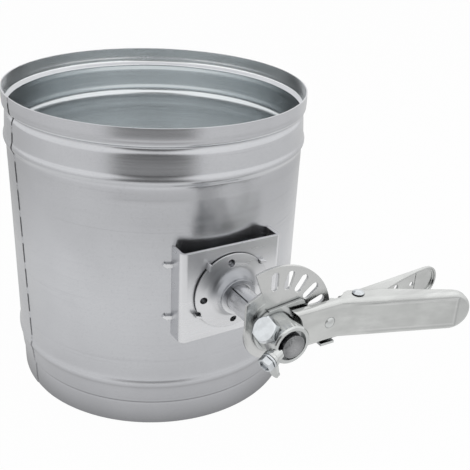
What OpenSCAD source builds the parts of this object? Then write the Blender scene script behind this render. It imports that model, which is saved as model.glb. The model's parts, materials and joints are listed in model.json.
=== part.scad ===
// Round sheet-steel damper for a 250 mm stove pipe.
// Z runs up the pipe from the centre of the lower rim. The shaft leaves the front of the pipe
// along -Y, and the closed lever points along +X. Lengths are in millimetres.

/* [Pipe] */
// Outer radius of the plain pipe wall
pipe_r = 125.5; // [100:0.5:160]
// Height from rim to rim
pipe_h = 260; // [230:1:400]
// Thickness of the pipe sheet
sheet_t = 1; // [0.8:0.1:1.5]
// How much the upper socket is wider than the pipe wall, as a radius
socket_step = 1.6; // [1.6:0.1:3]
// Length of the straight stretch of the upper socket
socket_len = 8.7; // [6:0.1:20]
// How much the lower spigot is narrower than the pipe wall, as a radius
spigot_step = 0.55; // [0.55:0.05:0.8]
// Length of the straight stretch of the lower spigot
spigot_len = 18.7; // [10:0.1:25]
// Width of the lap seam along the pipe
seam_w = 12; // [8:1:20]
// Direction of the lap seam, in degrees from +X
seam_angle = 184; // [120:1:240]

/* [Blade] */
// Gap between the blade and the pipe wall
blade_gap = 2.1; // [1.5:0.1:5]
// Thickness of the blade sheet
blade_t = 1.5; // [1:0.1:3]
// Height of the pressed ring on the blade
bead_h = 2.2; // [1:0.1:4]

/* [Shaft] */
// Height of the shaft above the lower rim
shaft_z = 129; // [110:1:150]
// Radius of the shaft
shaft_r = 9; // [8:0.1:9.5]
// Depth of the flat that the blade is screwed to
flat_depth = 3; // [2:0.1:4]
// Length of the shaft that stands out of the hub
nose_len = 4; // [2:0.1:8]
// Radial clearance of the shaft in its bearings
shaft_fit = 0.05; // [0.03:0.01:0.09]

/* [Bracket] */
// Width of the bracket across its side walls
bracket_w = 86.5; // [80:0.5:95]
// Height of the bracket
bracket_h = 77.5; // [72:0.5:90]
// Distance from the front of the pipe to the bracket face
bracket_standoff = 10.4; // [9:0.1:20]
// Thickness of the bracket sheet
bracket_t = 2.5; // [2:0.1:3]
// Radius of the round plate on the bracket
plate_r = 32; // [30:0.5:34]
// Thickness of the round plate
plate_t = 2.3; // [2:0.1:3]
// How far the collar of the round plate stands out of the bracket
collar_len = 13.5; // [10:0.1:20]
// Outer radius of the shaft sleeve
sleeve_r = 10.8; // [10.8:0.1:11.2]

/* [Quadrant] */
// Distance from the front of the pipe to the front of the quadrant
quadrant_reach = 72.3; // [66:0.1:90]
// Outer radius of the quadrant
quadrant_r = 50; // [49.5:0.1:50.5]
// Thickness of the quadrant
quadrant_t = 2.1; // [1.8:0.1:2.5]
// Angle from one slot to the next
slot_pitch = 18; // [17.5:0.5:18]
// Width of a slot
slot_w = 6.6; // [6.2:0.1:6.8]
// Number of slots
slot_count = 6; // [3:1:6]

/* [Lever] */
// Outer radius of the hub
hub_r = 15; // [14.5:0.1:15.5]
// Length of the hub
hub_len = 24; // [23.5:0.1:26]
// Thickness of the flat arm between hub and handle
arm_t = 2.5; // [2.2:0.1:3]
// Length of the spacer between arm and handle
spacer_len = 5.9; // [5.5:0.1:7]
// Height of the handle
handle_h = 32; // [30:0.1:34]
// Thickness of the handle sheet
handle_t = 2; // [1.6:0.1:2.2]
// Distance from the shaft to the bend of the handle
bend_x = 52.4; // [52:0.1:54]
// Angle by which the grip leans away from the pipe
bend_angle = 19; // [17:0.5:21]
// Length of the grip from the bend to its round end
grip_len = 105.2; // [95:0.1:130]

/* [Trigger] */
// Distance from the shaft to the trigger pin
pin_x = 70.3; // [69:0.1:72]
// Distance from the front of the handle to the trigger pin
pin_depth = 4.2; // [3.8:0.1:4.6]
// Radius of the trigger pin
pin_r = 2.5; // [2:0.1:3]
// Radial clearance of the trigger on its pin
pin_fit = 0.06; // [0.03:0.01:0.09]
// Length of the trigger behind its pin
trigger_len = 95; // [85:0.5:105]
// Thickness of the trigger sheet
trigger_t = 1.5; // [1.2:0.1:1.8]
// Angle between the trigger and the quadrant at rest
trigger_lean = 4.5; // [3.5:0.1:5]

/* [Hidden] */
$fn = 96;
eps = 0.01;
seat = 0.05;
run_gap = 0.3;

// Stations along the shaft, measured from the pipe axis.
bore_r = pipe_r - sheet_t;
face_s = pipe_r + bracket_standoff;
collar_s = face_s + collar_len;
quad_s = pipe_r + quadrant_reach;
hub_s = quad_s + run_gap;
hub_end = hub_s + hub_len;
arm_front = hub_s + arm_t;
web_back = arm_front + spacer_len;
web_front = web_back + handle_t;
tip_s = hub_end + nose_len;

// Wall profile: height from the nearer rim, and how far it stands out of the plain wall.
neck_step = -1.6;
crease_z = socket_len + 6.2;
band_foot = 4.6;
band_len = 15.5;
bead_len = 3.6;
band_low = -0.5;
band_high = 0.7;
bead_step = 1.9;
bead_end = 4.6;

// The round plate, its collar and the tabs of the bracket that hold it.
plate_front = face_s + plate_t;
cone_r = 20;
collar_r = 15;
tab_r = 33.3;
tab_angles = [-39.5, 50.6, 141, 244];
bracket_shift = 0.5;
hole_ring = 25.4;
hole_r = 2.9;
hole_turn = 4.5;

// The quadrant: angles run clockwise from straight up.
slot_first = 87.7 - (slot_count - 1) * slot_pitch;
slot_in = 31;
slot_out = 46;
base_r = 24.5;
cheek_x = 24;
cheek_y = 25;

// Hexagon screws.
m10_af = 17;
m6_af = 10.4;
bolt_dir = 54.5;
bolt_tilt = 15;
bolt_s = hub_s + 8;
side_dir = 110.5;
side_tilt = 15;
side_s = hub_s + 18.6;

// Rivets of the rear bearing.
rivet_r = 2.4;
rivet_turn = 9;
rivet_rise = 14;
rear_plate_t = 2;
rear_end = pipe_r + 11;
rear_washer_t = 1.8;
rear_washer_s = rear_end + run_gap;
shaft_end = rear_washer_s + rear_washer_t + 8;
cotter_r = 1.6;
cotter_s = rear_washer_s + rear_washer_t + cotter_r + 1.3;

blade_z = shaft_r - flat_depth;
blade_r = bore_r - blade_gap;
screw_r = 3;
screw_x = [-70, 0, 70];
tab_slot = 0.15;

// Moves a shape from the pipe frame to the shaft frame: x stays, y is up, z is along the shaft.
module on_shaft() {
    translate([0, 0, shaft_z]) rotate([90, 0, 0]) children();
}

// Points an upright shape away from the shaft, turned left from straight up and tilted forward.
module outward(turn, tilt, station) {
    translate([0, 0, station]) rotate([0, 0, turn]) rotate([-90 + tilt, 0, 0]) children();
}

function unit(v) = v / norm(v);

// Arc that rounds the corner b between the points a and c.
function corner(a, b, c, r, n = 5) =
    let (u = unit(a - b), v = unit(c - b))
    let (half = acos(u * v) / 2)
    let (reach = min(r / tan(half), norm(a - b) / 2.2, norm(c - b) / 2.2))
    let (m = b + unit(u + v) * reach / cos(half))
    let (p = b + u * reach, q = b + v * reach)
    [for (k = [0 : n]) let (w = unit((p - m) * (1 - k / n) + (q - m) * k / n)) m + w * norm(p - m)];

function rounded(path, r) =
    [for (k = [0 : len(path) - 1])
        each (k == 0 || k == len(path) - 1 ? [path[k]] : corner(path[k - 1], path[k], path[k + 1], r))];

// Outer line of the wall from the lower rim to the upper rim.
function bead_group(z0, dir, len, step) =
    [[pipe_r + step, z0],
     [pipe_r + step, z0 + dir * len],
     [pipe_r + neck_step, z0 + dir * (len + 3.2)],
     [pipe_r + band_low, z0 + dir * (len + 3.2 + band_foot)],
     [pipe_r + band_high, z0 + dir * (len + 3.2 + band_foot + band_len - bead_len)],
     [pipe_r + bead_step, z0 + dir * (len + 3.2 + band_foot + band_len)],
     [pipe_r, z0 + dir * (len + 3.2 + band_foot + band_len + bead_end)]];

function reversed(p) = [for (k = [len(p) - 1 : -1 : 0]) p[k]];

wall_line = rounded(concat(bead_group(0, 1, spigot_len, -spigot_step),
                           reversed(bead_group(pipe_h, -1, socket_len + 3, socket_step))), 2.5);

module pipe_shell() {
    inner = [for (p = wall_line) [p[0] - sheet_t, p[1]]];
    lap = [for (p = wall_line) [p[0] + sheet_t * 0.8, p[1]]];
    lap_angle = seam_w / pipe_r * 180 / PI;
    color("lightgray") difference() {
        union() {
            rotate_extrude($fn = 180) polygon(concat(wall_line, reversed(inner)));
            intersection() {
                rotate([0, 0, seam_angle - lap_angle / 2]) rotate_extrude(angle = lap_angle, $fn = 180)
                    polygon(concat(lap, reversed([for (p = wall_line) [p[0] - sheet_t / 2, p[1]]])));
                translate([0, 0, spigot_len]) cylinder(r = 2 * pipe_r, h = pipe_h - spigot_len - 0.5);
            }
        }
        on_shaft() translate([0, 0, pipe_r - 20]) cylinder(r = sleeve_r + 1.2, h = 40);
        on_shaft() translate([0, 0, -pipe_r - 20]) cylinder(r = shaft_r + 1, h = 40);
        rear_rivet_places() translate([0, 0, -20]) cylinder(r = rivet_r + seat, h = 40);
    }
}

module damper_blade() {
    ring_r = blade_r - 24;
    color("silver") on_shaft() rotate([-90, 0, 0]) translate([0, 0, blade_z]) difference() {
        union() {
            difference() {
                cylinder(r = blade_r, h = blade_t, $fn = 180);
                translate([0, 0, -eps]) rotate_extrude($fn = 180) translate([ring_r - 6, 0]) square([12, 2 * blade_t]);
            }
            rotate_extrude($fn = 180) polygon(bead_section(ring_r));
        }
        for (x = screw_x) translate([0, x, -eps]) cylinder(r = screw_r + 0.2, h = blade_t + 1);
    }
}

// Section of the pressed ring in the blade, from its inner to its outer foot.
function bead_section(r) =
    let (top = rounded([[r - 6, blade_t], [r - 4, blade_t], [r, blade_t + bead_h], [r + 4, blade_t], [r + 6, blade_t]], 3))
    concat(top, reversed([for (p = top) [p[0], p[1] - blade_t]]));

module blade_screws() {
    color("whitesmoke") for (x = screw_x)
        on_shaft() rotate([-90, 0, 0]) translate([0, x, blade_z + blade_t + 1.2]) {
            hexagon_head(10, 4);
            translate([0, 0, -12]) cylinder(r = screw_r - seat, h = 12 + eps);
        }
}

module blade_washers() {
    color("gainsboro") for (x = screw_x)
        on_shaft() rotate([-90, 0, 0]) translate([0, x, blade_z + blade_t]) difference() {
            cylinder(r = 8, h = 1.2);
            translate([0, 0, -1]) cylinder(r = screw_r + 0.2, h = 4);
        }
}

// Hexagon with the corners of its upper face turned off.
module hexagon_head(across, h) {
    top_r = across / 2 * 0.96;
    intersection() {
        cylinder(r = across / sqrt(3), h = h, $fn = 6);
        cylinder(r1 = top_r + h * 1.8, r2 = top_r, h = h);
    }
}

module shaft() {
    color("dimgray") on_shaft() difference() {
        union() {
            translate([0, 0, -shaft_end]) cylinder(r = shaft_r, h = shaft_end + tip_s - 2);
            translate([0, 0, tip_s - 2 - eps]) dome(shaft_r, 2);
        }
        translate([-2 * shaft_r, blade_z, -bore_r + 0.6]) cube([4 * shaft_r, shaft_r, 2 * bore_r - 1.2]);
        for (x = screw_x) translate([0, blade_z + 1, -x]) rotate([90, 0, 0]) cylinder(r = screw_r, h = 13);
        translate([-20, 0, -cotter_s]) rotate([0, 90, 0]) cylinder(r = cotter_r + seat, h = 40);
    }
}

// Low dome of radius r and height h.
module dome(r, h) {
    ball = (r * r + h * h) / (2 * h);
    rotate_extrude() intersection() {
        translate([0, h - ball]) circle(r = ball, $fn = 180);
        square([r, h + 1]);
    }
}

module bracket_section(w, s, r, back) {
    translate([bracket_shift, 0]) for (m = [0, 1]) mirror([1 - m, 0]) {
        translate([-1, back]) square([w / 2 + 1, s - back - r[m]]);
        translate([-1, back]) square([w / 2 + 1 - r[m], s - back]);
        translate([w / 2 - r[m], s - r[m]]) circle(r = r[m]);
    }
}

module bracket() {
    foot_y = 23;
    color("gainsboro") difference() {
        union() {
            translate([0, 0, shaft_z - bracket_h / 2]) mirror([0, 1, 0]) linear_extrude(bracket_h) difference() {
                bracket_section(bracket_w, face_s, [5, bracket_t + 0.5], 0);
                bracket_section(bracket_w - 2 * bracket_t, face_s - bracket_t, [5 - bracket_t, 0.5], -1);
            }
            for (m = [-1, 1], n = [-1, 1]) foot_tab(m, n * foot_y);
            for (a = tab_angles) on_shaft() rotate([0, 0, -a]) translate([0, tab_r, face_s - bracket_t])
                rotate([0, 0, 40]) translate([-2.6, -0.9, 0]) cube([5.2, 1.8, bracket_t + plate_t + 3.2]);
        }
        translate([0, 0, -1]) cylinder(r = pipe_r + seat, h = pipe_h + 2, $fn = 180);
        on_shaft() translate([0, 0, face_s - 10]) cylinder(r = sleeve_r + seat, h = 20);
        on_shaft() for (a = [0 : 90 : 270]) rotate([0, 0, a + hole_turn]) translate([0, hole_ring, face_s - 10]) cylinder(r = hole_r, h = 20);
    }
}

// Tab of the side wall, bent flat on the pipe and twisted at its end.
module foot_tab(side, y) {
    reach = 4.6;
    intersection() {
        translate([bracket_shift + side * bracket_w / 2, -pipe_r, shaft_z + y]) union() {
            translate([side > 0 ? -bracket_t / 2 : -reach, 0, -1.6]) cube([reach + bracket_t / 2, 20, 3.2]);
            translate([side * reach, 0, 0]) rotate([0, 40, 0]) translate([-2.2, 0, -1.1]) cube([4.4, 20, 2.2]);
        }
        cylinder(r = pipe_r + 2.6, h = pipe_h, $fn = 180);
    }
}

module bearing_plate() {
    dish = [[plate_r, plate_t], [cone_r + 5, plate_t + 1.3], [cone_r, plate_t + 2.6], [collar_r + 1.6, plate_t + 5.8],
            [collar_r, collar_len - 2], [collar_r, collar_len], [sleeve_r + seat, collar_len]];
    rim = [[plate_r - 1.6, seat], [plate_r - 1.6, plate_t - 1.3], [plate_r, plate_t - 1.3]];
    under = [[sleeve_r + seat, collar_len - 3], [collar_r - 2, collar_len - 3.4], [collar_r - 0.4, plate_t + 3],
             [cone_r - 1, plate_t], [cone_r + 4, seat], [plate_r - 1.6, seat]];
    color("lightgray") on_shaft() translate([0, 0, face_s]) difference() {
        rotate_extrude() polygon(concat(rim, rounded(dish, 6), rounded(under, 4)));
        for (a = [0 : 90 : 270]) rotate([0, 0, a + hole_turn]) translate([0, hole_ring, -1]) cylinder(r = hole_r, h = 9);
        for (a = tab_angles) rotate([0, 0, -a]) translate([0, tab_r, -1]) cylinder(r = 3.1, h = 9);
    }
}

module shaft_sleeve() {
    gap = 1;
    back = pipe_r + 1.2;
    color("gainsboro") on_shaft() difference() {
        translate([0, 0, back]) cylinder(r = sleeve_r, h = quad_s - back);
        translate([0, 0, back - 1]) cylinder(r = shaft_r + shaft_fit, h = quad_s);
        rotate([0, 0, 34]) translate([-gap / 2, 0, back - 1]) cube([gap, 20, quad_s]);
    }
}

function polar(a, r) = [r * sin(a), r * cos(a)];

module quadrant() {
    first = slot_first - slot_pitch;
    last = 87.7 + slot_pitch;
    rim = [for (k = [0 : 40]) polar(first + (last - first) * k / 40, 2 * quadrant_r)];
    color("whitesmoke") on_shaft() translate([0, 0, quad_s - quadrant_t]) linear_extrude(quadrant_t) difference() {
        union() {
            intersection() {
                circle(r = quadrant_r, $fn = 180);
                polygon(concat([[0, 0]], rim));
            }
            circle(r = base_r);
            polygon([[0, 0], [-cheek_x, 0], [-cheek_x, cheek_y], polar(first + 2, 34), polar(first + 2, 37), [0, 37]]);
            polygon([[0, 0], [8, -base_r + 3], polar(last - 2, base_r + 8), polar(last - 2, quadrant_r - 6)]);
        }
        circle(r = sleeve_r + seat);
        for (k = [0 : slot_count - 1]) rotate(-(slot_first + k * slot_pitch)) {
            translate([-slot_w / 2, slot_in + slot_w / 2]) square([slot_w, slot_out - slot_in - slot_w]);
            translate([0, slot_in + slot_w / 2]) circle(r = slot_w / 2);
            translate([0, slot_out - slot_w / 2]) circle(r = slot_w / 2);
        }
    }
}

module quadrant_collar() {
    color("lightgray") on_shaft() translate([0, 0, quad_s - quadrant_t - 6]) rotate_extrude()
        polygon([[sleeve_r + seat, 0], [sleeve_r + 2, 0], [sleeve_r + 4.5, 2.5], [sleeve_r + 4.5, 6], [sleeve_r + seat, 6]]);
}

module rear_rivet_places() {
    for (m = [-1, 1], n = [-1, 1]) rotate([0, 0, m * rivet_turn])
        translate([0, pipe_r, shaft_z + n * rivet_rise]) rotate([-90, 0, 0]) children();
}

module rear_bearing() {
    half_w = 30;
    half_h = 22;
    corner_r = 6;
    color("lightgray") difference() {
        union() {
            intersection() {
                cylinder(r = pipe_r + rear_plate_t, h = pipe_h, $fn = 180);
                translate([0, 0, shaft_z]) rotate([-90, 0, 0]) linear_extrude(2 * pipe_r) {
                    square([2 * half_w, 2 * (half_h - corner_r)], center = true);
                    square([2 * (half_w - corner_r), 2 * half_h], center = true);
                    for (m = [-1, 1], n = [-1, 1]) translate([m * (half_w - corner_r), n * (half_h - corner_r)]) circle(r = corner_r);
                }
            }
            translate([0, 0, shaft_z]) rotate([-90, 0, 0]) translate([0, 0, pipe_r]) cylinder(r = 13, h = rear_end - pipe_r);
        }
        translate([0, 0, -1]) cylinder(r = pipe_r + seat, h = pipe_h + 2, $fn = 180);
        translate([0, 0, shaft_z]) rotate([-90, 0, 0]) cylinder(r = shaft_r + shaft_fit, h = 2 * pipe_r);
        rear_rivet_places() translate([0, 0, -10]) cylinder(r = rivet_r + seat, h = 30);
    }
}

module rear_rivets() {
    color("silver") rear_rivet_places() {
        translate([0, 0, -sheet_t - 1.2]) cylinder(r = rivet_r + 1.2, h = 0.8);
        translate([0, 0, -sheet_t - 1.2]) cylinder(r = rivet_r, h = rear_plate_t + sheet_t + 1.6);
        translate([0, 0, rear_plate_t + 0.35]) dome(rivet_r + 2, 1.9);
    }
}

module rear_washer() {
    color("whitesmoke") on_shaft() translate([0, 0, -rear_washer_s - rear_washer_t]) difference() {
        cylinder(r = 15, h = rear_washer_t);
        translate([0, 0, -1]) cylinder(r = shaft_r + 0.1, h = 9);
    }
}

module rear_pin() {
    half = shaft_r + 5;
    color("silver") on_shaft() translate([0, 0, -cotter_s]) rotate([0, 90, 0]) {
        translate([0, 0, -half]) cylinder(r = cotter_r, h = 2 * half);
        translate([0, 0, -half]) cylinder(r = cotter_r + 1, h = 1.6);
    }
}

module hub() {
    recess_r = 11.7;
    color("gainsboro") on_shaft() difference() {
        union() {
            rotate_extrude() polygon([[0, hub_s], [hub_r, hub_s], [hub_r, hub_end - 1], [hub_r - 1, hub_end],
                                      [0, hub_end]]);
            outward(bolt_dir, bolt_tilt, bolt_s) cylinder(r = 8.4, h = hub_r + 2.2);
            outward(side_dir, side_tilt, side_s) cylinder(r = 5.4, h = hub_r + 2);
            outward(side_dir, side_tilt, side_s) ear(hub_r + 2 - eps);
        }
        translate([0, 0, hub_s - 1]) cylinder(r = shaft_r + shaft_fit, h = hub_len + 12);
        translate([0, 0, hub_end - 3]) cylinder(r = recess_r, h = 4);
        translate([0, 0, hub_s - 20]) cylinder(r = 3 * hub_r, h = 20);
        outward(bolt_dir, bolt_tilt, bolt_s) cylinder(r = 5, h = 40);
        outward(bolt_dir, bolt_tilt, bolt_s) translate([0, 0, hub_r + 2.2]) cylinder(r = 10.2, h = 20);
        outward(side_dir, side_tilt, side_s) cylinder(r = 3, h = 40);
    }
}

// Flat ear under the head of the side screw, drawn out to a round end.
module ear(z) {
    reach = 15;
    end_r = 4;
    translate([0, 0, z]) linear_extrude(2.4) {
        circle(r = 6.4);
        translate([-reach, 1.6]) circle(r = end_r);
        polygon([[2, 5.4], [-reach, 1.2 + end_r], [-reach, 2 - end_r], [2, -5.4]]);
    }
}

module clamp_bolt() {
    head = 6.2;
    color("whitesmoke") on_shaft() outward(bolt_dir, bolt_tilt, bolt_s) {
        translate([0, 0, hub_r + 2.2 + seat]) rotate([0, 0, 18]) hexagon_head(m10_af, head);
        translate([0, 0, shaft_r + 2.4]) cylinder(r = 5 - seat, h = hub_r + 2.2 - shaft_r);
    }
}

module side_screw() {
    head = 4.6;
    color("silver") on_shaft() outward(side_dir, side_tilt, side_s) translate([0, 0, hub_r + 6.4]) {
        difference() {
            hexagon_head(m6_af, head);
            translate([0, 0, head - 1.4]) cylinder(r = 4.5, h = 9, $fn = 6);
        }
        translate([0, 0, -hub_r - 6.4 + shaft_r + 1.8]) cylinder(r = 3 - seat, h = hub_r + 5 - shaft_r);
    }
}

module side_washer() {
    color("whitesmoke") on_shaft() outward(side_dir, side_tilt, side_s) translate([0, 0, hub_r + 4.65]) difference() {
        cylinder(r = 6.2, h = 1.6);
        translate([0, 0, -1]) cylinder(r = 3.1, h = 4);
    }
}

module lever_arm() {
    tip_x = 51;
    tip_r = 11.5;
    fin = [[-9, 0], [-6.5, 17.3], [21, 20.4], [23.5, 18.8], [27, 12], [tip_x - tip_r, tip_r], [tip_x - tip_r, -tip_r],
           [16, -14], [0, -hub_r - 2]];
    lug = [37, 49];
    color("lightsteelblue") on_shaft() difference() {
        union() {
            translate([0, 0, hub_s]) linear_extrude(arm_t) {
                circle(r = hub_r + 2.5);
                polygon(fin);
                translate([tip_x - tip_r, 0]) circle(r = tip_r);
            }
            translate([lug[0], -handle_h / 2 - 4.4, hub_s]) cube([lug[1] - lug[0], 12, arm_t]);
            translate([lug[0], -handle_h / 2 - 4.4, hub_s]) cube([lug[1] - lug[0], 2, web_front - hub_s - 0.4]);
        }
        translate([0, 0, hub_s - 1]) cylinder(r = hub_r + seat, h = 20);
        translate([rivet_x, rivet_y, hub_s - 1]) cylinder(r = 3.05, h = 20);
    }
}

rivet_x = 42.9;
rivet_y = -1;

module arm_spacer() {
    color("silver") on_shaft() translate([rivet_x, rivet_y, arm_front + 0.02]) difference() {
        cylinder(r = 6, h = spacer_len - 0.04);
        translate([0, 0, -1]) cylinder(r = 3.05, h = 20);
    }
}

module arm_rivet() {
    color("gainsboro") on_shaft() translate([rivet_x, rivet_y, 0]) {
        translate([0, 0, hub_s + 0.3]) cylinder(r = 3, h = web_front - hub_s - 0.2);
        translate([0, 0, web_front + 0.03]) dome(4.6, 1.3);
    }
}

// Channel of pressed sheet along x, h wide across y. Its front is at z = 0, the folds have
// radius r and the side walls reach back by depth. The end at x1 is round when asked for.
module channel(x0, x1, h, t, r, depth, round_end) {
    stop = round_end ? x1 - h / 2 : x1;
    translate([x0, 0, 0]) rotate([90, 0, 90]) linear_extrude(stop - x0) channel_section(h, t, r, depth);
    if (round_end) translate([stop, 0, 0]) rotate([0, 0, -90]) rotate_extrude(angle = 180, $fn = 96) intersection() {
        channel_section(h, t, r, depth);
        translate([0, -2 * depth]) square([h, 3 * depth]);
    }
}

module channel_section(h, t, r, depth) {
    outer = [[-h / 2, -depth], [-h / 2, 0], [h / 2, 0], [h / 2, -depth]];
    inner = [[h / 2 - t, -depth], [h / 2 - t, -t], [t - h / 2, -t], [t - h / 2, -depth]];
    polygon(concat(folded(outer, r), folded(inner, r - t)));
}

function folded(p, r) = concat([p[0]], corner(p[0], p[1], p[2], r, 4), corner(p[1], p[2], p[3], r, 4), [p[3]]);

module on_grip() {
    translate([bend_x, 0, web_front]) rotate([0, -bend_angle, 0]) children();
}

handle_y = -1;

// The plane where the two stretches of the handle meet.
module at_bend() {
    translate([bend_x, 0, web_front]) rotate([0, -bend_angle / 2, 0]) children();
}

module handle() {
    tip_x = bend_x + (grip_len - 10) * cos(bend_angle);
    tip_back = web_front + (grip_len - 10) * sin(bend_angle) - 6.6;
    rear = [[-40, 0], [-40, web_front - 6.2], [bend_x + 2.4, web_front - 5.5], [bend_x + 9, web_front - 10.1],
            [bend_x + 13, web_front - 11], [bend_x + 41.6, web_front - 0.5], [tip_x, tip_back],
            [tip_x + 60, tip_back + 21], [tip_x + 60, 0]];
    color("gainsboro") on_shaft() difference() {
        translate([0, handle_y, 0]) {
            intersection() {
                translate([0, 0, web_front]) channel(0, bend_x + 9, handle_h, handle_t, 3, 16, false);
                at_bend() translate([-200, -50, -100]) cube([200, 100, 200]);
            }
            intersection() {
                on_grip() channel(-9, grip_len, handle_h, handle_t, 3, 16, true);
                at_bend() translate([-0.02, -50, -100]) cube([200, 100, 200]);
            }
        }
        rotate([90, 0, 0]) translate([0, 0, -60]) linear_extrude(120) polygon(rear);
        translate([0, 0, web_back - 20]) cylinder(r = hub_r + 3.5, h = 40);
        translate([rivet_x, rivet_y, web_back - 20]) cylinder(r = 3.05, h = 40);
        translate([pin_x, 60, web_front - pin_depth]) rotate([90, 0, 0]) cylinder(r = pin_r + seat, h = 120);
    }
}

pin_top = handle_h / 2 + handle_y;
pin_low = -handle_h / 2 + handle_y;

module at_pin() {
    translate([pin_x, 0, web_front - pin_depth]) children();
}

module trigger_pin() {
    over = 0.7;
    color("silver") on_shaft() at_pin() rotate([-90, 0, 0]) {
        translate([0, 0, pin_low - over]) cylinder(r = pin_r, h = pin_top - pin_low + 2 * over);
        translate([0, 0, pin_top + over]) dome(4.7, 1.8);
        translate([0, 0, pin_low - over]) mirror([0, 0, 1]) dome(4.7, 1.8);
    }
}

trigger_h = handle_h - 2 * handle_t - 0.8;
trigger_back = 8.7;
tongue_h = 9;
nose_r = 38.5;

// The trigger frame has its origin on the pin; x runs along the trigger and z to the front.
module on_trigger() {
    at_pin() translate([0, handle_y, 0]) rotate([0, trigger_lean, 0]) children();
}

module trigger() {
    front = [[-8, 4.2], [12, 4.4], [23, 3.8], [50, -1.7], [trigger_len - 24, -4.6], [trigger_len + 9, -5.6],
             [trigger_len + 9, 60], [-60, 60], [-60, -3.4], [-14, -3.4]];
    nose_gap = 0.45;
    nose_top = quad_s - quadrant_t - nose_gap;
    nose_t = slot_w - 1;
    nose_x = nose_r - 4.5;
    web_s = web_front - pin_depth - trigger_back;
    tongue = [[nose_x, nose_top], [nose_x, nose_top - 5], [nose_x + 1, nose_top - 6], [57.5, nose_top - 6],
              [59, nose_top - 5], [60.5, web_s - 0.8], [67, web_s - 0.8], [67, web_s + 1.2], [59, web_s + 1.2],
              [57.5, web_s + 0.2], [56, nose_top - 3.6], [nose_x + 9, nose_top - 3.6], [nose_x + 8, nose_top - 3]];
    color("gainsboro") on_shaft() difference() {
        union() {
            on_trigger() difference() {
                translate([0, 0, -trigger_back]) mirror([0, 0, 1])
                    channel(-12, trigger_len, trigger_h, trigger_t, 2.4, 14, true);
                rotate([90, 0, 0]) translate([0, 0, -40]) linear_extrude(80) polygon(front);
                for (h = [[50, 2.8], [68, 0.6]]) translate([h[0], h[1], -trigger_back - 5]) cylinder(r = 2.3, h = 10);
            }
            rotate([90, 0, 0]) translate([0, 0, -nose_y - nose_t / 2]) linear_extrude(nose_t)
                polygon(concat(tongue, [[nose_x + 8, nose_top]]));
            rotate([90, 0, 0]) translate([0, 0, -nose_y - tongue_h / 2]) linear_extrude(tongue_h) polygon(tongue_low(tongue, nose_top - 2.6));
        }
        translate([pin_x, 60, web_front - pin_depth]) rotate([90, 0, 0]) cylinder(r = pin_r + pin_fit, h = 120);
    }
}

nose_y = nose_r * cos(87.7);

// The tongue without its raised nose.
function tongue_low(p, top) = concat([[p[0][0], top - 1]], [for (k = [1 : 12]) p[k]]);

module trigger_spring() {
    wire_r = 0.9;
    leg_r = 0.8;
    coil_r = pin_r + wire_r + 0.5;
    turns = 4;
    pitch = 1.7;
    top = (turns - 1) / 2 * pitch;
    color("dimgray") on_shaft() at_pin() translate([0, handle_y, 0]) {
        rotate([90, 0, 0]) rotate_extrude() {
            for (k = [0 : turns - 1]) translate([coil_r, k * pitch - top]) circle(r = wire_r, $fn = 32);
            translate([coil_r - 0.6, -top]) square([1.2, 2 * top]);
        }
        rotate([0, -bend_angle - 8, 0]) translate([0, top, coil_r]) rotate([0, 90, 0]) cylinder(r = leg_r, h = 18, $fn = 32);
        rotate([0, 2 * trigger_lean, 0]) translate([0, -top, -coil_r]) rotate([0, -90, 0]) cylinder(r = leg_r, h = 8, $fn = 32);
    }
}

pipe_shell();
damper_blade();
blade_screws();
blade_washers();
shaft();
bracket();
bearing_plate();
shaft_sleeve();
quadrant();
quadrant_collar();
rear_bearing();
rear_rivets();
rear_washer();
rear_pin();
hub();
lever_arm();
clamp_bolt();
side_screw();
side_washer();
arm_spacer();
arm_rivet();
handle();
trigger_pin();
trigger();
trigger_spring();
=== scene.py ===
import json
import math
import bpy
import bmesh
from mathutils import Matrix, Vector


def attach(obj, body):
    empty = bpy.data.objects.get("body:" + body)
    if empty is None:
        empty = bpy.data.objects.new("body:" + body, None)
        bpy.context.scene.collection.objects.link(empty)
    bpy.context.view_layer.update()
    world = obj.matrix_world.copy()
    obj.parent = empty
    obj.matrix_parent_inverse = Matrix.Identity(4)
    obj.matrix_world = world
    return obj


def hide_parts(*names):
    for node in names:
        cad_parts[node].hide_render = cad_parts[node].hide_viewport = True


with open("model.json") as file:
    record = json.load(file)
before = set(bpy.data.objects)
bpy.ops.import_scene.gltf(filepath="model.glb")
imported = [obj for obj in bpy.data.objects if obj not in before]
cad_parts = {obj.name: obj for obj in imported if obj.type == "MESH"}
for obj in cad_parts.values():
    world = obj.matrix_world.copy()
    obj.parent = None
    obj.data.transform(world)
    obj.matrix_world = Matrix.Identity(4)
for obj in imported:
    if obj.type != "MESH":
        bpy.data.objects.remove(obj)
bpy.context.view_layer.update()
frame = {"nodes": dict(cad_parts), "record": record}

scene = bpy.context.scene
nodes = frame["nodes"]
shaftHeight = 0.129   # of the damper shaft above the lower rim, in metres


# helpers for node trees

def opaque(color):
    return (*color, 1)


def newMaterial(name):
    mat = bpy.data.materials.new(name)
    mat.use_nodes = True
    tree = mat.node_tree
    tree.nodes.clear()
    out = tree.nodes.new("ShaderNodeOutputMaterial")
    return mat, tree, out


def addNode(tree, kind, inputs=None, **settings):
    node = tree.nodes.new(kind)
    for key, value in settings.items():
        setattr(node, key, value)
    for key, value in (inputs or {}).items():
        if isinstance(value, bpy.types.NodeSocket):
            tree.links.new(value, node.inputs[key])
        else:
            node.inputs[key].default_value = value
    return node


def calc(tree, operation, a, b=0.0, c=0.0):
    return addNode(tree, "ShaderNodeMath", {0: a, 1: b, 2: c}, operation=operation).outputs[0]


def times(tree, a, b):
    return calc(tree, "MULTIPLY", a, b)


def distanceFrom(tree, value, middle):
    return calc(tree, "ABSOLUTE", calc(tree, "SUBTRACT", value, middle))


def length2(tree, a, b):
    return calc(tree, "ADD", calc(tree, "POWER", a, 2.0), calc(tree, "POWER", b, 2.0))


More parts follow.
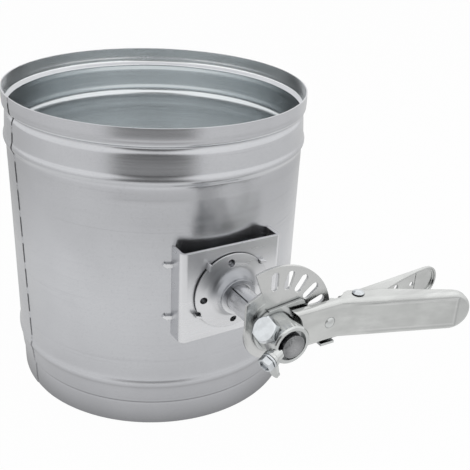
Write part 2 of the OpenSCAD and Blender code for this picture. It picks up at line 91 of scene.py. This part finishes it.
def fade(tree, value, span, start=0.0, end=1.0):
    # smooth step over the span, which may also run downwards
    step = addNode(tree, "ShaderNodeMapRange",
                   {"Value": value, "From Min": span[0], "From Max": span[1], "To Min": start, "To Max": end},
                   interpolation_type="SMOOTHSTEP")
    return step.outputs["Result"]


def addRamp(tree, factor, stops):
    ramp = addNode(tree, "ShaderNodeValToRGB", {"Fac": factor})
    band = ramp.color_ramp.elements
    while len(band) < len(stops):
        band.new(0.5)
    for element, (place, grey) in zip(band, stops):
        element.position = place
        element.color = (grey, grey, grey, 1)
    return ramp.outputs["Color"]


def objectPlace(tree):
    return addNode(tree, "ShaderNodeTexCoord").outputs["Object"]


def objectAxes(tree):
    return addNode(tree, "ShaderNodeSeparateXYZ", {0: objectPlace(tree)}).outputs


def addNoise(tree, stretch, scale, detail, rough=0.5):
    mapped = addNode(tree, "ShaderNodeMapping", {"Vector": objectPlace(tree), "Scale": stretch})
    return addNode(tree, "ShaderNodeTexNoise", {"Vector": mapped.outputs["Vector"], "Scale": scale,
                                                "Detail": detail, "Roughness": rough}).outputs["Fac"]


def mixColor(tree, factor, a, b, blend="MIX"):
    mix = addNode(tree, "ShaderNodeMix", data_type="RGBA", blend_type=blend)
    for index, value in ((0, factor), (6, a), (7, b)):
        if isinstance(value, bpy.types.NodeSocket):
            tree.links.new(value, mix.inputs[index])
        else:
            mix.inputs[index].default_value = value
    return mix.outputs[2]


# finishes: zinc on steel with broad clouds of tone, fine rolling lines and small pits, and painted shade in
# crevices

even = (1, 1, 1)      # noise of the same size in every direction

surface = {
    "cloudDetail": 2.0,
    "cloudSpan": (0.3, 0.7),          # part of the noise over which the tone changes
    "linesDetail": 5.0,
    "linesRough": 0.62,
    "lineSpan": (0.42, 0.30),
    "grainDetail": 2.0,
    "speckSpan": (0.45, 0.3),
    "roughSpan": (0.3, 0.7),
    # painted shade: ambient occlusion darkens the colour in crevices and where parts meet
    "creviceReach": 0.005,            # metres
    "creviceSpan": (0.85, 0.35),
    "creviceShadeTone": (0.05, 0.055, 0.065),
    "bumpUnit": 0.001,                # bump heights are in millimetres
}

# "lines" says how tight the rolling lines are along x, y and z, "edge" is the rounding of edges in metres
pipeLook = {
    "tone": (0.545, 0.552, 0.572), "clouds": 0.03, "cloudScale": 18, "waves": 0.14,
    "lines": (4, 4, 520), "lineDepth": 0.14, "lineTone": (0.33, 0.33, 0.35), "lineBump": 0.006,
    "rough": 0.24, "roughShift": 0.03, "grainScale": 900, "grain": 0.008, "speckle": 0.16,
    "edge": 0.0004, "crevice": 0.0,
}
bladeLook = dict(pipeLook, tone=(0.72, 0.745, 0.75), lines=(420, 5, 5))
plateLook = dict(pipeLook, tone=(0.72, 0.725, 0.74), lines=(6, 40, 120), lineBump=0.001, lineDepth=0.06,
                 rough=0.29, waves=0.06, crevice=0.55, speckle=0.03, grain=0.004)
quadrantLook = dict(plateLook, tone=(0.60, 0.605, 0.60), lines=(60, 40, 60), lineDepth=0.10, rough=0.22)
leverLook = dict(plateLook, tone=(0.56, 0.575, 0.57), lines=(120, 120, 120), lineDepth=0.25,
                 cloudScale=90, clouds=0.07, waves=0.5, rough=0.16, edge=0.0006)
handleLook = dict(plateLook, tone=(0.60, 0.61, 0.60), lines=(8, 120, 130), lineDepth=0.16,
                  cloudScale=38, clouds=0.06, waves=0.6, rough=0.19, edge=0.0008)
boltLook = dict(leverLook, tone=(0.60, 0.625, 0.645), lineDepth=0.15, cloudScale=160, waves=0.12,
                rough=0.12, crevice=0.7)
rivetLook = dict(boltLook, tone=(0.68, 0.68, 0.69), rough=0.22)
shaftLook = dict(leverLook, tone=(0.24, 0.245, 0.25), clouds=0.14, lineDepth=0.5, lineTone=(0.1, 0.1, 0.11),
                 rough=0.36, waves=0.3, crevice=0.8)
wireLook = dict(shaftLook, tone=(0.34, 0.34, 0.35))


def metalFinish(name, look, detail=None):
    # detail(tree, color, height) adds what belongs to one piece only
    mat, tree, out = newMaterial(name)
    clouds = addNoise(tree, even, look["cloudScale"], surface["cloudDetail"])
    lines = addNoise(tree, look["lines"], 1.0, surface["linesDetail"], surface["linesRough"])
    grain = addNoise(tree, even, look["grainScale"], surface["grainDetail"])
    pale = opaque([c * (1 + look["clouds"]) for c in look["tone"]])
    deep = opaque([c * (1 - look["clouds"]) for c in look["tone"]])
    lineTone = opaque(look["lineTone"])
    color = mixColor(tree, fade(tree, clouds, surface["cloudSpan"]), deep, pale)
    color = mixColor(tree, fade(tree, lines, surface["lineSpan"], 0, look["lineDepth"]), color, lineTone)
    color = mixColor(tree, fade(tree, grain, surface["speckSpan"], 0, look["speckle"]), color, lineTone)
    height = times(tree, grain, look["grain"])
    height = calc(tree, "MULTIPLY_ADD", lines, look["lineBump"], height)
    height = calc(tree, "MULTIPLY_ADD", clouds, look["waves"], height)
    rough = fade(tree, lines, surface["roughSpan"], look["rough"] - look["roughShift"],
                 look["rough"] + look["roughShift"])
    if detail:
        color, height = detail(tree, color, height)
    # painted shade: darker colour where ambient occlusion finds surfaces close by, in crevices and between parts
    if look["crevice"]:
        hollow = addNode(tree, "ShaderNodeAmbientOcclusion", {"Distance": surface["creviceReach"]}, samples=6)
        creviceShade = fade(tree, hollow.outputs["AO"], surface["creviceSpan"], 0, look["crevice"])
        color = mixColor(tree, creviceShade, color, opaque(surface["creviceShadeTone"]))
    rounded = addNode(tree, "ShaderNodeBevel", {"Radius": look["edge"]}, samples=4)
    bump = addNode(tree, "ShaderNodeBump", {
        "Height": height, "Strength": 1.0, "Distance": surface["bumpUnit"], "Normal": rounded.outputs["Normal"]})
    shader = addNode(tree, "ShaderNodeBsdfPrincipled", {
        "Base Color": color, "Roughness": rough, "Metallic": 1.0, "Normal": bump.outputs["Normal"]})
    tree.links.new(shader.outputs["BSDF"], out.inputs["Surface"])
    return mat


# what the pipe's metal shows besides its finish; lengths in metres

seam = {
    "low": (0.065, -174.4),       # height and direction in degrees of the lap's free edge
    "high": (0.205, -177.2),
    "dash": 0.0235,               # from one weld spot to the next
    "gap": 0.20,                  # share of that which is welded shut
    "gapEdge": 0.06,
    "halfWidth": 0.0013,
    "core": 0.35,                 # share of the width that is fully dark
    "wobbleScale": 240,
    "wobble": 0.0009,
    "radius": 0.126,
    "fadeSpan": (0.02, 0.08),     # heights between which the slit comes up
    "fadeDepth": (0.35, 0.9),
    "tone": (0.035, 0.035, 0.04),
    "weldSpan": (0.0016, 0.0002),
    "weldHeight": 0.5,            # millimetres
}

flueSide = {
    "innerRadius": 0.1232,        # nearer to the axis than this there is only the flue side
    "facingSpan": (0.02, -0.02),
    "collarSpan": (0.243, 0.250),
    # painted light: paler tones for the inner wall and the inside of the collar
    "wallLitTone": (0.70, 0.73, 0.745),
    "collarLitTone": (0.90, 0.915, 0.92),
}


def pipeDetail(tree, color, height):
    # painted light: the flue side's colour is made paler, palest up inside the collar; and the dark slit of the
    # lap seam between its weld spots
    x, y, z = objectAxes(tree)
    normal = addNode(tree, "ShaderNodeNewGeometry").outputs["Normal"]
    facing = addNode(tree, "ShaderNodeVectorMath", {0: normal, 1: objectPlace(tree)}, operation="DOT_PRODUCT")
    inner = fade(tree, facing.outputs["Value"], flueSide["facingSpan"])
    flueLitTone = mixColor(tree, fade(tree, z, flueSide["collarSpan"]), opaque(flueSide["wallLitTone"]),
                        opaque(flueSide["collarLitTone"]))
    color = mixColor(tree, inner, color, flueLitTone)

    (z0, a0), (z1, a1) = seam["low"], seam["high"]
    slope = math.radians(a1 - a0) / (z1 - z0)
    line = calc(tree, "MULTIPLY_ADD", z, slope, math.radians(a0) - slope * z0)
    turn = calc(tree, "SUBTRACT", calc(tree, "ARCTAN2", y, x), line)
    away = times(tree, calc(tree, "ABSOLUTE", turn), seam["radius"])
    wobble = addNoise(tree, even, seam["wobbleScale"], 2.0)
    edge = calc(tree, "MULTIPLY_ADD", wobble, seam["wobble"], calc(tree, "SUBTRACT", away, seam["wobble"] / 2))
    near = fade(tree, edge, (seam["halfWidth"], seam["halfWidth"] * seam["core"]))
    share = calc(tree, "FRACT", calc(tree, "DIVIDE", z, seam["dash"]))
    dashEnd = 0.5 - seam["gap"] / 2
    dash = fade(tree, distanceFrom(tree, share, 0.5), (dashEnd, dashEnd - seam["gapEdge"]))
    outside = calc(tree, "GREATER_THAN", length2(tree, x, y), flueSide["innerRadius"] ** 2)
    slit = times(tree, times(tree, near, dash), fade(tree, z, seam["fadeSpan"], *seam["fadeDepth"]))
    color = mixColor(tree, times(tree, slit, outside), color, opaque(seam["tone"]))
    weld = times(tree, fade(tree, away, seam["weldSpan"]), times(tree, wobble, seam["weldHeight"]))
    return color, calc(tree, "ADD", height, times(tree, weld, outside))


shaftEnd = {
    "paleSpan": (0.0085, 0.002),  # distance from the shaft's axis
    "paleShare": 0.55,
    "paleTone": (0.46, 0.46, 0.47),
    "dentScale": 320,
    "dents": 1.2,                 # millimetres
}


def endDetail(tree, color, height):
    # sawn and hammered end of the shaft, paler in the middle
    x, y, z = objectAxes(tree)
    out = calc(tree, "SQRT", length2(tree, x, calc(tree, "SUBTRACT", z, shaftHeight)))
    middle = times(tree, fade(tree, out, shaftEnd["paleSpan"]), shaftEnd["paleShare"])
    color = mixColor(tree, middle, color, opaque(shaftEnd["paleTone"]))
    dents = addNoise(tree, even, shaftEnd["dentScale"], 3.0)
    return color, calc(tree, "MULTIPLY_ADD", dents, shaftEnd["dents"], height)


bossShade = {
    # painted shade standing in for the dark reflection of the dish round the shaft boss
    "outerSpan": (0.0245, 0.019),   # distance from the shaft's axis
    "innerSpan": (0.0112, 0.0125),
    "heightSpan": (0.120, 0.136),   # only the upper half is painted darker
    "depth": 0.8,
    "tone": (0.26, 0.27, 0.29),
    "cloudPlace": (-0.013, 0.145),  # x and z of the soft patch of painted shade beside the boss
    "cloudSpan": (0.020, 0.004),
    "cloudDepth": 0.75,
    "cloudTone": (0.30, 0.31, 0.33),
}


def plateDetail(tree, color, height):
    # painted shade: a dark ring round the upper half of the shaft boss, standing in for the dish's dark
    # reflection, and a soft patch of painted shade beside it
    x, y, z = objectAxes(tree)

    def awayFrom(px, pz):
        away = length2(tree, calc(tree, "SUBTRACT", x, px), calc(tree, "SUBTRACT", z, pz))
        return calc(tree, "SQRT", away)

    out = awayFrom(0.0, shaftHeight)
    boss = times(tree, fade(tree, out, bossShade["outerSpan"]), fade(tree, out, bossShade["innerSpan"]))
    boss = times(tree, boss, fade(tree, z, bossShade["heightSpan"]))
    color = mixColor(tree, times(tree, boss, bossShade["depth"]), color, opaque(bossShade["tone"]))
    cloud = fade(tree, awayFrom(*bossShade["cloudPlace"]), bossShade["cloudSpan"])
    color = mixColor(tree, times(tree, cloud, bossShade["cloudDepth"]), color, opaque(bossShade["cloudTone"]))
    return color, height


gripPanel = {
    "middle": (0.0935, 0.128),      # x and z
    "half": (0.0475, 0.0118),
    "startSpan": (0.058, 0.09),     # it rises out of the sheet between these x
    "riseSpan": (0.0008, -0.0006),  # distance from the outline, inside below zero
    "rise": 0.4,                    # millimetres
    # painted shade along the panel's outline (crease) and a painted highlight just inside it (shine)
    "crease": 0.0004,
    "creaseSpan": (0.0011, 0.0001),
    "creaseDepth": 0.4,
    "creaseTone": (0.30, 0.305, 0.31),
    "shine": -0.0012,
    "shineSpan": (0.0009, 0.0001),
    "shineDepth": 0.5,
    "shineTone": (0.78, 0.785, 0.78),
    "wornStretch": (6, 40, 30),
    "wornScale": 3.0,
    "wornSpan": (0.42, 0.62),
    "wornDepth": 0.35,
    "wornTone": (0.44, 0.445, 0.44),
}


def gripDetail(tree, color, height):
    # shallow raised panel on the outer stretch of the grip, with painted shade along its outline and a painted
    # highlight just inside it, and worn zinc
    x, y, z = objectAxes(tree)
    along = calc(tree, "SUBTRACT", distanceFrom(tree, x, gripPanel["middle"][0]), gripPanel["half"][0])
    across = calc(tree, "SUBTRACT", distanceFrom(tree, z, gripPanel["middle"][1]), gripPanel["half"][1])
    rim = calc(tree, "MAXIMUM", across, along)
    begins = fade(tree, x, gripPanel["startSpan"])
    panel = times(tree, fade(tree, rim, gripPanel["riseSpan"]), begins)
    # painted shade on the outline and painted highlight inside it
    for part in ("crease", "shine"):
        band = fade(tree, distanceFrom(tree, rim, gripPanel[part]), gripPanel[part + "Span"])
        share = times(tree, times(tree, band, begins), gripPanel[part + "Depth"])
        color = mixColor(tree, share, color, opaque(gripPanel[part + "Tone"]))
    worn = addNoise(tree, gripPanel["wornStretch"], gripPanel["wornScale"], 4.0)
    wornShare = fade(tree, worn, gripPanel["wornSpan"], 0.0, gripPanel["wornDepth"])
    color = mixColor(tree, wornShare, color, opaque(gripPanel["wornTone"]))
    return color, calc(tree, "MULTIPLY_ADD", panel, gripPanel["rise"], height)


finishes = {
    "galvanised_sheet": metalFinish("galvanisedSheet", pipeLook, pipeDetail),
    "blade_sheet": metalFinish("bladeSheet", bladeLook),
    "plated_sheet": metalFinish("platedSheet", plateLook, plateDetail),
    "plated_plate": metalFinish("platedPlate", quadrantLook),
    "lever_steel": metalFinish("leverSteel", leverLook),
    "handle_sheet": metalFinish("handleSheet", handleLook, gripDetail),
    "shaft_steel": metalFinish("shaftSteel", shaftLook, endDetail),
    "zinc_screws": metalFinish("zincScrews", boltLook),
    "rivet_aluminium": metalFinish("rivetAluminium", rivetLook),
    "spring_wire": metalFinish("springWire", wireLook),
}

slotOf = {part["node"]: part["material_slot"] for part in frame["record"]["subparts"]}
for nodeName, solid in nodes.items():
    solid.data.materials.clear()
    solid.data.materials.append(finishes[slotOf[nodeName]])
print("finishes on", len(nodes), "solids")


# pieces

def addPiece(name, mesh, body, slot, sharp):
    mesh.set_sharp_from_angle(angle=math.radians(sharp))
    piece = bpy.data.objects.new(name, mesh)
    scene.collection.objects.link(piece)
    mesh.materials.append(finishes[slot])
    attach(piece, body)
    return piece


pipeWall = {
    # height above the lower rim and outer radius in mm: spigot, lower beads, wall, upper beads, socket
    "line": [(0, 124.2), (19.6, 124.3), (21.2, 124.05), (22.2, 125.2), (25.0, 125.3), (36.6, 126.2),
             (38.6, 126.95), (40.4, 127.2), (42.2, 126.95), (45.6, 125.8), (52, 125.8), (56.5, 125.9),
             (66, 125.8), (196, 125.8), (203.6, 126.0), (206, 125.9), (213.6, 125.9), (216.0, 126.5),
             (217.8, 127.6), (219.4, 127.95), (221.2, 127.8), (223.9, 126.7), (225.4, 126.55),
             (238.6, 125.6), (240.2, 125.3), (242.6, 124.1), (244.0, 123.75), (245.0, 124.1),
             (246.0, 126.2), (247.2, 126.95), (248.6, 127.1), (250.0, 127.1), (251.6, 127.35), (260, 127.1)],
    "sheet": 1.0,
    "turns": 240,                # columns round the pipe
    "lapEdge": 0.001,            # radians between the lap's free edge and the sheet under it
    "lapStep": 0.45,             # how far that sheet lies back, in mm
    "lapSpread": 0.22,           # radians over which it comes out again
    "holes": [(-1, 12.0), (1, 10.0)],   # side along y and radius in mm: shaft, rear bearing
    "drill": (0.1254, 0.03, 48),        # middle radius and depth in metres, facets
    "sharp": 40,
}


def cutCorners(line, rounds=2):
    for _ in range(rounds):
        eased = [line[0]]
        for (u0, v0), (u1, v1) in zip(line, line[1:]):
            eased.append((u0 * 0.75 + u1 * 0.25, v0 * 0.75 + v1 * 0.25))
            eased.append((u0 * 0.25 + u1 * 0.75, v0 * 0.25 + v1 * 0.75))
        eased.append(line[-1])
        line = eased
    return line


def drillHole(piece, side, radius, drillAt, depth, facets):
    bpy.ops.mesh.primitive_cylinder_add(vertices=facets, radius=radius, depth=depth,
                                        location=(0, side * drillAt, shaftHeight),
                                        rotation=(math.pi / 2, 0, 0))
    drill = bpy.context.object
    cut = piece.modifiers.new("hole", "BOOLEAN")
    cut.object = drill
    cut.operation = "DIFFERENCE"
    cut.solver = "EXACT"
    bpy.context.view_layer.objects.active = piece
    bpy.ops.object.modifier_apply(modifier="hole")
    bpy.data.objects.remove(drill)


def makePipe(wall):
    outer = cutCorners(wall["line"])
    inner = [(z, r - wall["sheet"]) for z, r in outer]
    loop = outer + inner[::-1]
    (z0, a0), (z1, a1) = seam["low"], seam["high"]
    # the first column is the free edge of the lap, the second lies on the sheet under it
    columns = [0.0, wall["lapEdge"]] + [math.tau * k / wall["turns"] for k in range(1, wall["turns"])]
    bm = bmesh.new()
    rings = []
    for turn in columns:
        left = max(0.0, 1 - turn / wall["lapSpread"]) if turn else 0.0
        drop = wall["lapStep"] * left * left * (3 - 2 * left)
        ring = []
        for i, (z, r) in enumerate(loop):
            a = math.radians(a0 + (a1 - a0) * (z / 1000 - z0) / (z1 - z0)) + turn
            r -= drop if i < len(outer) else 0.0
            ring.append(bm.verts.new((r * math.cos(a) / 1000, r * math.sin(a) / 1000, z / 1000)))
        rings.append(ring)
    for k, ring in enumerate(rings):
        after = rings[(k + 1) % len(rings)]
        for i in range(len(loop)):
            j = (i + 1) % len(loop)
            bm.faces.new((ring[i], after[i], after[j], ring[j]))
    bmesh.ops.recalc_face_normals(bm, faces=bm.faces)
    for face in bm.faces:
        face.smooth = True
    mesh = bpy.data.meshes.new("pipeWall")
    bm.to_mesh(mesh)
    bm.free()
    piece = addPiece("pipeWall", mesh, "pipe", "galvanised_sheet", wall["sharp"])
    for side, radius in wall["holes"]:
        drillHole(piece, side, radius / 1000, *wall["drill"])
    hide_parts("pipe_shell")
    print("pipe wall", len(piece.data.polygons), "faces")


makePipe(pipeWall)


# camera

camera = {
    "place": (-0.2699, -0.5749, 0.4269),
    "forward": (0.4731, 0.7649, -0.4372),
    "roll": 0.0543,
    "lens": 58.18,
    "sensor": 36,
    "nearest": 0.01,
}


def makeCamera(view):
    data = bpy.data.cameras.new("camera")
    data.lens = view["lens"]
    data.sensor_width = view["sensor"]
    data.clip_start = view["nearest"]
    cam = bpy.data.objects.new("camera", data)
    scene.collection.objects.link(cam)
    ahead = Vector(view["forward"]).normalized()
    side = ahead.cross(Vector((0, 0, 1))).normalized()
    above = side.cross(ahead)
    right = side * math.cos(view["roll"]) + above * math.sin(view["roll"])
    up = above * math.cos(view["roll"]) - side * math.sin(view["roll"])
    cam.matrix_world = Matrix.Translation(view["place"]) @ Matrix((right, up, -ahead)).transposed().to_4x4()
    scene.camera = cam


makeCamera(camera)


# studio

studio = {
    "fill": 0.75,                    # what the surroundings add to diffuse light
    "sky": [(0.0, 0.80), (0.17, 0.82), (0.34, 0.84), (0.5, 0.84), (0.7, 1.0), (1.0, 0.9)],   # by sine of height
    "skyGain": 1.35,
    # the dark part of the room: compass direction in degrees, tone, and cosines of its soft edge
    "doorway": -117,
    "doorwayRise": 0.02,
    "doorwayTone": 0.16,
    "doorwaySky": (0.84, 0.94),
    "doorwayFloor": (0.82, 0.94),
    "doorwayStart": (0.62, 1.15),    # metres from the part at which it begins on the floor
    "floorSize": 6.0,
    "floorDrop": 0.0005,
    "floorMatt": (0.8, 0.8, 0.8),
    "floorWhite": 0.96,              # share of plain white that a camera sees on the floor
    # floor tone in a mirror, a painted reflection of the room: by distance from the part, with a painted shadow
    # close to it, then by compass direction
    "floorReach": 1.0,
    "floorRings": [(0.0, 0.3), (0.125, 0.42), (0.14, 0.66), (0.16, 0.80), (0.30, 1.0), (0.52, 0.84),
                   (0.62, 0.76), (0.90, 0.92), (1.0, 0.92)],
    "floorRound": [(0.0, 1.0), (0.10, 0.98), (0.25, 0.98), (0.42, 0.94), (0.50, 0.90), (0.62, 0.84),
                   (0.72, 0.74), (0.79, 0.66), (0.84, 0.74), (0.92, 0.90), (1.0, 1.0)],
    "lampAim": (0, -0.05, 0.12),
    "lamps": [("keyBox", (-0.7, -0.5, 1.5), 0.9, 5.5), ("fillBox", (1.3, -0.6, 1.1), 1.0, 3.5)],   # size, power
}
plainWhite = (1, 1, 1, 1)


def seenDirectly(tree):
    # 1 where a camera, a mirror or a glass looks at the surface
    path = addNode(tree, "ShaderNodeLightPath")
    first = calc(tree, "MAXIMUM", path.outputs["Is Camera Ray"], path.outputs["Is Glossy Ray"])
    return calc(tree, "MAXIMUM", first, path.outputs["Is Transmission Ray"])


def compass(tree, x, y):
    # direction round the part, 0 to 1
    return calc(tree, "MULTIPLY_ADD", calc(tree, "ARCTAN2", y, x), 1 / math.tau, 0.5)


def makeWorld(look):
    world = bpy.data.worlds.new("studioWorld")
    world.use_nodes = True
    tree = world.node_tree
    tree.nodes.clear()
    view = addNode(tree, "ShaderNodeTexCoord").outputs["Generated"]
    axis = addNode(tree, "ShaderNodeSeparateXYZ", {0: view})
    sky = addNode(tree, "ShaderNodeVectorMath", {0: addRamp(tree, axis.outputs["Z"], look["sky"]),
                                                 "Scale": look["skyGain"]}, operation="SCALE").outputs[0]
    a = math.radians(look["doorway"])
    toDoorway = (math.cos(a), math.sin(a), look["doorwayRise"])
    facing = addNode(tree, "ShaderNodeVectorMath", {0: view, 1: toDoorway}, operation="DOT_PRODUCT")
    sky = mixColor(tree, fade(tree, facing.outputs["Value"], look["doorwaySky"]), sky,
                   opaque([look["doorwayTone"]] * 3))
    path = addNode(tree, "ShaderNodeLightPath")
    light = mixColor(tree, path.outputs["Is Diffuse Ray"], sky, opaque([look["fill"]] * 3))
    light = mixColor(tree, path.outputs["Is Camera Ray"], light, plainWhite)
    back = addNode(tree, "ShaderNodeBackground", {"Color": light, "Strength": 1.0})
    out = addNode(tree, "ShaderNodeOutputWorld")
    tree.links.new(back.outputs[0], out.inputs["Surface"])
    scene.world = world


def makeFloor(look):
    mat, tree, out = newMaterial("studioFloor")
    x, y, z = objectAxes(tree)
    away = calc(tree, "SQRT", length2(tree, x, y))
    # painted reflection for mirrors: rings darkest next to the part as a painted shadow, a compass pattern, and
    # the dark part of the room
    rings = addRamp(tree, calc(tree, "DIVIDE", away, look["floorReach"]), look["floorRings"])
    tone = mixColor(tree, 1.0, rings, addRamp(tree, compass(tree, x, y), look["floorRound"]), "MULTIPLY")
    a = math.radians(look["doorway"])
    ahead = calc(tree, "ADD", times(tree, x, math.cos(a)), times(tree, y, math.sin(a)))
    dark = times(tree, fade(tree, calc(tree, "DIVIDE", ahead, away), look["doorwayFloor"]),
                 fade(tree, away, look["doorwayStart"]))
    tone = mixColor(tree, dark, tone, opaque([look["doorwayTone"]] * 3))
    path = addNode(tree, "ShaderNodeLightPath")
    tone = mixColor(tree, path.outputs["Is Glossy Ray"], plainWhite, tone)
    matt = addNode(tree, "ShaderNodeBsdfDiffuse", {"Color": opaque(look["floorMatt"])})
    white = addNode(tree, "ShaderNodeEmission", {"Color": tone, "Strength": 1.0})
    share = times(tree, seenDirectly(tree), look["floorWhite"])
    mix = addNode(tree, "ShaderNodeMixShader", {0: share, 1: matt.outputs[0], 2: white.outputs[0]})
    tree.links.new(mix.outputs[0], out.inputs["Surface"])
    bm = bmesh.new()
    bmesh.ops.create_circle(bm, cap_ends=True, segments=64, radius=look["floorSize"])
    mesh = bpy.data.meshes.new("studioFloor")
    bm.to_mesh(mesh)
    bm.free()
    floor = bpy.data.objects.new("studioFloor", mesh)
    floor.location.z = -look["floorDrop"]
    scene.collection.objects.link(floor)
    mesh.materials.append(mat)


def makeLamps(look):
    # mirrors don't show the lamps, the world and the floor give the metal its light
    for name, place, size, power in look["lamps"]:
        lamp = bpy.data.lights.new(name, "AREA")
        lamp.shape = "DISK"
        lamp.size = size
        lamp.energy = power
        holder = bpy.data.objects.new(name, lamp)
        holder.location = place
        holder.rotation_euler = (Vector(look["lampAim"]) - Vector(place)).to_track_quat("-Z", "Y").to_euler()
        holder.visible_glossy = False
        scene.collection.objects.link(holder)


makeWorld(studio)
makeFloor(studio)
makeLamps(studio)
scene.view_settings.view_transform = "Standard"
print("studio ready")
